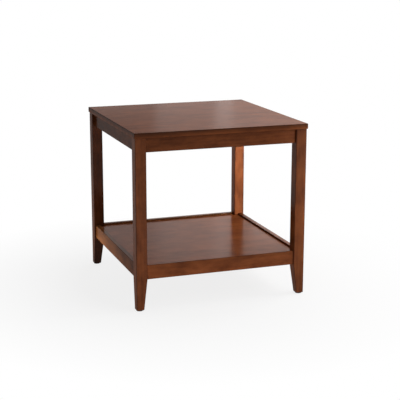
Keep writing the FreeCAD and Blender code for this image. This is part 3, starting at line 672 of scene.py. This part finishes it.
def stained_wood(node, grain, cut, finish, painted_light_ends, rise=EVEN_RISE):
    """Make the stained, lacquered wood of one board: its grain, the painted light and shade along
    it and its tone upwards.
    """
    wood = bpy.context.scene.end_table_wood
    material, tree, shader = new_material(f"stained_wood_{node}")
    vector = grain_vector(tree, grain, cut)
    figure = add_node(tree, "ShaderNodeGroup", (-450, 150), node_tree=grain_group())
    set_sockets(figure, {
        "Light Wood": wood.stain,
        "Dark Wood": wood.dark_stain,
        "Ring Spacing": wood.ring_spacing,
        "Streaks": finish.streaks,
        "Clouds": finish.clouds,
    })
    edge = add_node(tree, "ShaderNodeGroup", (-450, -200), node_tree=edge_group(), name="edge")
    set_sockets(edge, {"Width": wood.edge_width, "Depth": wood.edge_depth})
    link_all(tree, (vector, figure.inputs["Vector"]), (vector, edge.inputs["Vector"]))
    low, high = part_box(node)
    axis = AXES[grain]
    # Painted light and shade along the board, and a tone from its lower to its upper edge.
    along = add_tone(tree, (-1100, 500), axis, low[axis], high[axis], painted_light_ends)
    upward = add_tone(tree, (-1100, 750), AXES["Z"], low.z, high.z, rise)
    painted_light = add_mix(tree, (-400, 600), 1.0, along, upward, "MULTIPLY")
    lit_and_shaded = add_mix(tree, (-250, 300), 1.0, figure.outputs["Color"], painted_light, "MULTIPLY")
    # The rounded edges take the edge colour: partly stain that gathers there, partly painted shade
    # that outlines them.
    colour = add_mix(tree, (-50, 150), edge.outputs["Mask"], lit_and_shaded, (*wood.edge_stain, 1.0))
    rough = add_range(tree, (-50, -100), figure.outputs["Figure"], 0.0, 1.0, *STAINED_ROUGHNESS)
    link_all(tree, (colour, shader.inputs["Base Color"]), (rough, shader.inputs["Roughness"]))
    # All the gloss comes from the lacquer: the stained wood under it has none of its own.
    set_sockets(shader, {
        "Specular IOR Level": 0.0,
        "Coat Weight": wood.lacquer * finish.lacquer,
        "Coat Roughness": wood.lacquer_roughness,
    })
    add_relief(tree, figure.outputs["Height"], shader, STAINED_RELIEF)
    return material


def plain_wood(name, grain, cut, light, dark, ring_spacing):
    """Make raw, planed wood with its grain along an axis."""
    material, tree, shader = new_material(name)
    vector = grain_vector(tree, grain, cut)
    figure = add_node(tree, "ShaderNodeGroup", (-450, 150), node_tree=grain_group())
    set_sockets(figure, {"Light Wood": light, "Dark Wood": dark, "Ring Spacing": ring_spacing})
    rough = add_range(tree, (-150, -100), figure.outputs["Figure"], 0.0, 1.0, *RAW_ROUGHNESS)
    link_all(
        tree,
        (vector, figure.inputs["Vector"]),
        (figure.outputs["Color"], shader.inputs["Base Color"]),
        (rough, shader.inputs["Roughness"]),
    )
    set_sockets(shader, {"Specular IOR Level": 0.3})
    add_relief(tree, figure.outputs["Height"], shader, RAW_RELIEF)
    return material


def speckled(name, base, scale, contrast, roughness, metallic, relief):
    """Make a finish with fine changes of colour and gloss: zinc plate or moulded nylon."""
    material, tree, shader = new_material(name)
    place = add_node(tree, "ShaderNodeTexCoord", (-700, 0))
    speckle = add_node(tree, "ShaderNodeGroup", (-450, 0), node_tree=speckle_group())
    set_sockets(speckle, {
        "Base": base,
        "Scale": scale,
        "Contrast": contrast,
        "Low Roughness": roughness[0],
        "High Roughness": roughness[1],
    })
    link_all(
        tree,
        (place.outputs["Object"], speckle.inputs["Vector"]),
        (speckle.outputs["Color"], shader.inputs["Base Color"]),
        (speckle.outputs["Roughness"], shader.inputs["Roughness"]),
    )
    set_sockets(shader, {"Metallic": metallic})
    add_relief(tree, speckle.outputs["Height"], shader, relief)
    return material


def dress(node, material):
    """Give a piece of the frame a material in every slot it has."""
    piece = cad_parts[node]
    if not piece.material_slots:
        piece.data.materials.append(material)
    for slot in piece.material_slots:
        slot.material = material


def next_cut(kind, step, index):
    """Return where one of several like pieces is cut, further along the grain than the last."""
    along, *across = CUTS[kind]
    return (along + step * index, *across)


def dress_sides(kind, painted_light_ends, rise):
    """Stain the four boards of a kind, one on each side, each with its own figure and its own
    painted light and shade.
    """
    for index, (side, ends) in enumerate(painted_light_ends.items()):
        node = f"{kind}_{side}"
        grain = "X" if side in ACROSS_SIDES else "Y"
        cut = next_cut(kind, SIDE_CUT_STEP, index)
        dress(node, stained_wood(node, grain, cut, NARROW_FINISH, ends, rise))


def paint_shade_on_sides(node, material):
    """Paint light and shade on the upright edges of a flat board: lighter at the foot, darker at
    the top, and keep its lower rounded edge free of the painted edge shade.
    """
    tree = material.node_tree
    shader = tree.nodes["Principled BSDF"]
    place = add_node(tree, "ShaderNodeTexCoord", (-50, 500))
    split = add_node(tree, "ShaderNodeSeparateXYZ", (100, 500))
    link_all(tree, (place.outputs["Normal"], split.inputs[0]))
    level = add_math(tree, (250, 500), "ABSOLUTE", split.outputs["Z"])
    upright = add_range(tree, (400, 500), level, *UPRIGHT_COSINES)
    low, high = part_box(node)
    painted_light = add_tone(tree, (-300, 1000), AXES["Z"], low.z, high.z, TOP_EDGE_PAINTED_LIGHT)
    plain = shader.inputs["Base Color"].links[0].from_socket
    shaded = add_mix(tree, (250, 250), 1.0, plain, painted_light, "MULTIPLY")
    link_all(tree, (add_mix(tree, (400, 250), upright, plain, shaded), shader.inputs["Base Color"]))
    # The lower rounded edge is left light, as painted light from the floor.
    set_sockets(tree.nodes["edge"], {"Underside Shade": 0.0})


# ---------------------------------------------------------------- operators for the pieces

class ENDTABLE_OT_finish_top(bpy.types.Operator):
    """Stain and lacquer the top"""

    bl_idname = "end_table.finish_top"
    bl_label = "Finish Top"

    def execute(self, context):
        material = stained_wood("table_top", "X", CUTS["table_top"], WIDE_FINISH, TOP_PAINTED_LIGHT)
        paint_shade_on_sides("table_top", material)
        dress("table_top", material)
        return {"FINISHED"}


class ENDTABLE_OT_finish_shelf_panel(bpy.types.Operator):
    """Stain and lacquer the shelf panel"""

    bl_idname = "end_table.finish_shelf_panel"
    bl_label = "Finish Shelf Panel"

    def execute(self, context):
        material = stained_wood("shelf_panel", "X", CUTS["shelf_panel"], WIDE_FINISH, PANEL_PAINTED_LIGHT)
        dress("shelf_panel", material)
        return {"FINISHED"}


class ENDTABLE_OT_finish_legs(bpy.types.Operator):
    """Stain and lacquer the four legs"""

    bl_idname = "end_table.finish_legs"
    bl_label = "Finish Legs"

    def execute(self, context):
        for index, (corner, painted_light_ends) in enumerate(LEG_PAINTED_LIGHT.items()):
            cut = next_cut("leg", LEG_CUT_STEP, index)
            dress(f"leg_{corner}", stained_wood(f"leg_{corner}", "Z", cut, LEG_FINISH, painted_light_ends))
        return {"FINISHED"}


class ENDTABLE_OT_finish_aprons(bpy.types.Operator):
    """Stain and lacquer the four aprons"""

    bl_idname = "end_table.finish_aprons"
    bl_label = "Finish Aprons"

    def execute(self, context):
        dress_sides("apron", APRON_PAINTED_LIGHT, APRON_PAINTED_LIGHT_RISE)
        return {"FINISHED"}


class ENDTABLE_OT_finish_shelf_rails(bpy.types.Operator):
    """Stain and lacquer the four shelf rails"""

    bl_idname = "end_table.finish_shelf_rails"
    bl_label = "Finish Shelf Rails"

    def execute(self, context):
        dress_sides("shelf_rail", RAIL_PAINTED_LIGHT, RAIL_RISE)
        return {"FINISHED"}


class ENDTABLE_OT_finish_cleats(bpy.types.Operator):
    """Give the cleats under the shelf raw wood"""

    bl_idname = "end_table.finish_cleats"
    bl_label = "Finish Cleats"

    def execute(self, context):
        raw = context.scene.end_table_hardware
        for grain, sides in (("X", ACROSS_SIDES), ("Y", DEPTH_SIDES)):
            kind = f"cleat_{grain.lower()}"
            material = plain_wood(
                f"raw_wood_{kind}", grain, CUTS[kind],
                raw.raw_wood, raw.raw_wood_dark, raw.cleat_rings,
            )
            for side in sides:
                dress(f"shelf_cleat_{side}", material)
        return {"FINISHED"}


class ENDTABLE_OT_finish_corner_blocks(bpy.types.Operator):
    """Give the corner blocks raw wood"""

    bl_idname = "end_table.finish_corner_blocks"
    bl_label = "Finish Corner Blocks"

    def execute(self, context):
        raw = context.scene.end_table_hardware
        for index, corner in enumerate(CORNERS):
            grain = "YX" if corner in ("front_left", "back_right") else "XY"
            cut = next_cut("corner_block", BLOCK_CUT_STEP, index)
            material = plain_wood(
                f"raw_wood_block_{corner}", grain, cut,
                raw.raw_wood, raw.raw_wood_dark, raw.block_rings,
            )
            dress(f"corner_block_{corner}", material)
        return {"FINISHED"}


class ENDTABLE_OT_finish_dowels(bpy.types.Operator):
    """Give the dowels beech"""

    bl_idname = "end_table.finish_dowels"
    bl_label = "Finish Dowels"

    def execute(self, context):
        raw = context.scene.end_table_hardware
        material = plain_wood(
            "beech_dowel", "X", CUTS["dowel"],
            raw.dowel, raw.dowel_dark, raw.dowel_rings,
        )
        for node in ("apron_dowels", "shelf_rail_dowels"):
            dress(node, material)
        return {"FINISHED"}


class ENDTABLE_OT_finish_steel(bpy.types.Operator):
    """Zinc plate the bolts, washers, nuts, screws and nails"""

    bl_idname = "end_table.finish_steel"
    bl_label = "Finish Steel"

    def execute(self, context):
        material = speckled(
            "zinc_plated_steel",
            context.scene.end_table_hardware.zinc,
            scale=450.0,
            contrast=0.35,
            roughness=(0.28, 0.50),
            metallic=1.0,
            relief=ZINC_RELIEF,
        )
        for node in (
            "hanger_bolts", "hanger_bolt_washers", "hanger_bolt_nuts", "top_screws",
            "corner_block_screws", "cleat_screws", "shelf_panel_screws", "glide_nails",
        ):
            dress(node, material)
        return {"FINISHED"}


class ENDTABLE_OT_finish_glides(bpy.types.Operator):
    """Mould the glides in dark nylon"""

    bl_idname = "end_table.finish_glides"
    bl_label = "Finish Glides"

    def execute(self, context):
        material = speckled(
            "moulded_nylon",
            context.scene.end_table_hardware.glide,
            scale=900.0,
            contrast=0.30,
            roughness=(0.45, 0.60),
            metallic=0.0,
            relief=NYLON_RELIEF,
        )
        for corner in CORNERS:
            dress(f"foot_glide_{corner}", material)
        return {"FINISHED"}


# ---------------------------------------------------------------- stage and camera

def seen_in_gloss(tree, path, place):
    """Return 1 for rays that come by reflection or through glass, else 0."""
    glossy, through = path.outputs["Is Glossy Ray"], path.outputs["Is Transmission Ray"]
    return add_math(tree, place, "MAXIMUM", glossy, through)


def floor_material(stage):
    """Make the pale floor: white to the eye, with a share of the table's shadow near the table."""
    material = bpy.data.materials.new("pale_floor")
    material.use_nodes = True
    tree = material.node_tree
    tree.nodes.clear()
    paint = add_node(tree, "ShaderNodeBsdfDiffuse", (0, 200))
    set_sockets(paint, {"Color": stage.floor_colour})
    white = add_node(tree, "ShaderNodeEmission", (0, 0))
    set_sockets(white, {"Strength": 1.0})
    place = add_node(tree, "ShaderNodeTexCoord", (-900, -300))
    away = add_node(tree, "ShaderNodeVectorMath", (-700, -300), operation="LENGTH")
    path = add_node(tree, "ShaderNodeLightPath", (-900, 0))
    link_all(tree, (place.outputs["Object"], away.inputs[0]))
    fade = (stage.shadow_start, stage.shadow_end)
    shares = []
    for seen, depth in (
        (path.outputs["Is Camera Ray"], stage.shadow_depth),
        (seen_in_gloss(tree, path, (-700, 0)), stage.reflected_depth),
    ):
        share = add_range(tree, (-500, -300), away.outputs["Value"], *fade, 1.0 - depth, 1.0)
        shares.append(add_math(tree, (-300, -200), "MULTIPLY", share, seen))
    factor = add_math(tree, (-100, -200), "ADD", *shares, clamp=True)
    blend = add_node(tree, "ShaderNodeMixShader", (250, 100))
    output = add_node(tree, "ShaderNodeOutputMaterial", (450, 100))
    link_all(
        tree,
        (factor, blend.inputs[0]),
        (paint.outputs[0], blend.inputs[1]),
        (white.outputs[0], blend.inputs[2]),
        (blend.outputs[0], output.inputs["Surface"]),
    )
    return material


def build_floor(stage):
    """Make the round floor at the level of the glides."""
    mesh = bpy.data.meshes.new("studio_floor")
    shape = bmesh.new()
    bmesh.ops.create_circle(
        shape, cap_ends=True, segments=FLOOR_SEGMENTS, radius=stage.floor_radius
    )
    shape.to_mesh(mesh)
    shape.free()
    mesh.materials.append(floor_material(stage))
    floor = bpy.data.objects.new("studio_floor", mesh)
    floor.location.z = CAD_BOX[0].z
    bpy.context.scene.collection.objects.link(floor)
    return floor


def build_world(stage):
    """Light the room evenly, show it as plain white and reflect it a little less bright."""
    world = bpy.data.worlds.new("studio_room")
    bpy.context.scene.world = world
    world.use_nodes = True
    tree = world.node_tree
    tree.nodes.clear()
    path = add_node(tree, "ShaderNodeLightPath", (-900, 0))
    gloss = seen_in_gloss(tree, path, (-700, 0))
    level = add_range(tree, (-500, 0), gloss, 0.0, 1.0, stage.world_level, stage.reflected_room)
    shown = add_range(tree, (-300, 0), path.outputs["Is Camera Ray"], 0.0, 1.0, level, 1.0)
    room = add_node(tree, "ShaderNodeBackground", (0, 0))
    set_sockets(room, {"Color": (1.0, 1.0, 1.0)})
    output = add_node(tree, "ShaderNodeOutputWorld", (200, 0))
    link_all(tree, (shown, room.inputs["Strength"]), (room.outputs[0], output.inputs["Surface"]))


def all_but(floor):
    """Return a collection that tells a lamp to light everything but the floor."""
    receivers = bpy.data.collections.new("all_but_floor")
    receivers.objects.link(floor)
    receivers.collection_objects[0].light_linking.link_state = "EXCLUDE"
    return receivers


def build_softbox(name, box, level, wood):
    """Make one soft rectangular lamp that faces a point."""
    lamp = bpy.data.lights.new(name, "AREA")
    lamp.shape = "RECTANGLE"
    lamp.size, lamp.size_y = box.width, box.height
    lamp.energy = box.watts * level
    lamp.spread = math.radians(box.spread)
    holder = bpy.data.objects.new(name, lamp)
    holder.location = box.place
    aim = Vector(box.target) - Vector(box.place)
    holder.rotation_euler = aim.to_track_quat("-Z", "Y").to_euler()
    holder.visible_camera = False
    if box.wood_only:
        holder.visible_glossy = False
        holder.light_linking.receiver_collection = wood
    bpy.context.scene.collection.objects.link(holder)


class ENDTABLE_OT_build_stage(bpy.types.Operator):
    """Build the pale floor, the room light and the softboxes"""

    bl_idname = "end_table.build_stage"
    bl_label = "Build Stage"

    def execute(self, context):
        stage = context.scene.end_table_stage
        wood = all_but(build_floor(stage))
        build_world(stage)
        for name, box in SOFTBOXES.items():
            build_softbox(name, box, stage.lamp_level, wood)
        context.scene.view_settings.view_transform = "Standard"
        return {"FINISHED"}


class ENDTABLE_OT_place_camera(bpy.types.Operator):
    """Stand the camera in front of the table, to the left"""

    bl_idname = "end_table.place_camera"
    bl_label = "Place Camera"

    def execute(self, context):
        view = context.scene.end_table_camera
        data = bpy.data.cameras.new("camera")
        data.sensor_width = SENSOR_WIDTH
        data.lens = view.lens
        data.clip_end = VIEW_DISTANCE
        camera = bpy.data.objects.new("camera", data)
        context.scene.collection.objects.link(camera)
        turn = (
            Matrix.Rotation(-view.heading, 4, "Z")
            @ Matrix.Rotation(math.pi / 2 - view.tilt, 4, "X")
            @ Matrix.Rotation(view.roll, 4, "Z")
        )
        camera.matrix_world = Matrix.Translation(view.place) @ turn
        context.scene.camera = camera
        return {"FINISHED"}


STEPS = (
    ENDTABLE_OT_finish_top,
    ENDTABLE_OT_finish_shelf_panel,
    ENDTABLE_OT_finish_legs,
    ENDTABLE_OT_finish_aprons,
    ENDTABLE_OT_finish_shelf_rails,
    ENDTABLE_OT_finish_cleats,
    ENDTABLE_OT_finish_corner_blocks,
    ENDTABLE_OT_finish_dowels,
    ENDTABLE_OT_finish_steel,
    ENDTABLE_OT_finish_glides,
    ENDTABLE_OT_build_stage,
    ENDTABLE_OT_place_camera,
)

SETTINGS = {
    "end_table_wood": EndTableWood,
    "end_table_hardware": EndTableHardware,
    "end_table_stage": EndTableStage,
    "end_table_camera": EndTableCamera,
}


class ENDTABLE_PT_sidebar(bpy.types.Panel):
    """Sizes, colours and steps of the end table"""

    bl_idname = "ENDTABLE_PT_sidebar"
    bl_label = "End Table"
    bl_space_type = "VIEW_3D"
    bl_region_type = "UI"
    bl_category = "End Table"

    def draw(self, context):
        for name, kind in SETTINGS.items():
            box = self.layout.box()
            for prop in kind.__annotations__:
                box.prop(getattr(context.scene, name), prop)
        for step in STEPS:
            self.layout.operator(step.bl_idname)


def register():
    for name, kind in SETTINGS.items():
        bpy.utils.register_class(kind)
        setattr(bpy.types.Scene, name, bpy.props.PointerProperty(type=kind))
    for step in STEPS:
        bpy.utils.register_class(step)
    bpy.utils.register_class(ENDTABLE_PT_sidebar)


def unregister():
    bpy.utils.unregister_class(ENDTABLE_PT_sidebar)
    for step in reversed(STEPS):
        bpy.utils.unregister_class(step)
    for name, kind in SETTINGS.items():
        delattr(bpy.types.Scene, name)
        bpy.utils.unregister_class(kind)


def main():
    register()
    for step in STEPS:
        group, name = step.bl_idname.split(".")
        getattr(getattr(bpy.ops, group), name)()


if __name__ == "__main__":
    main()
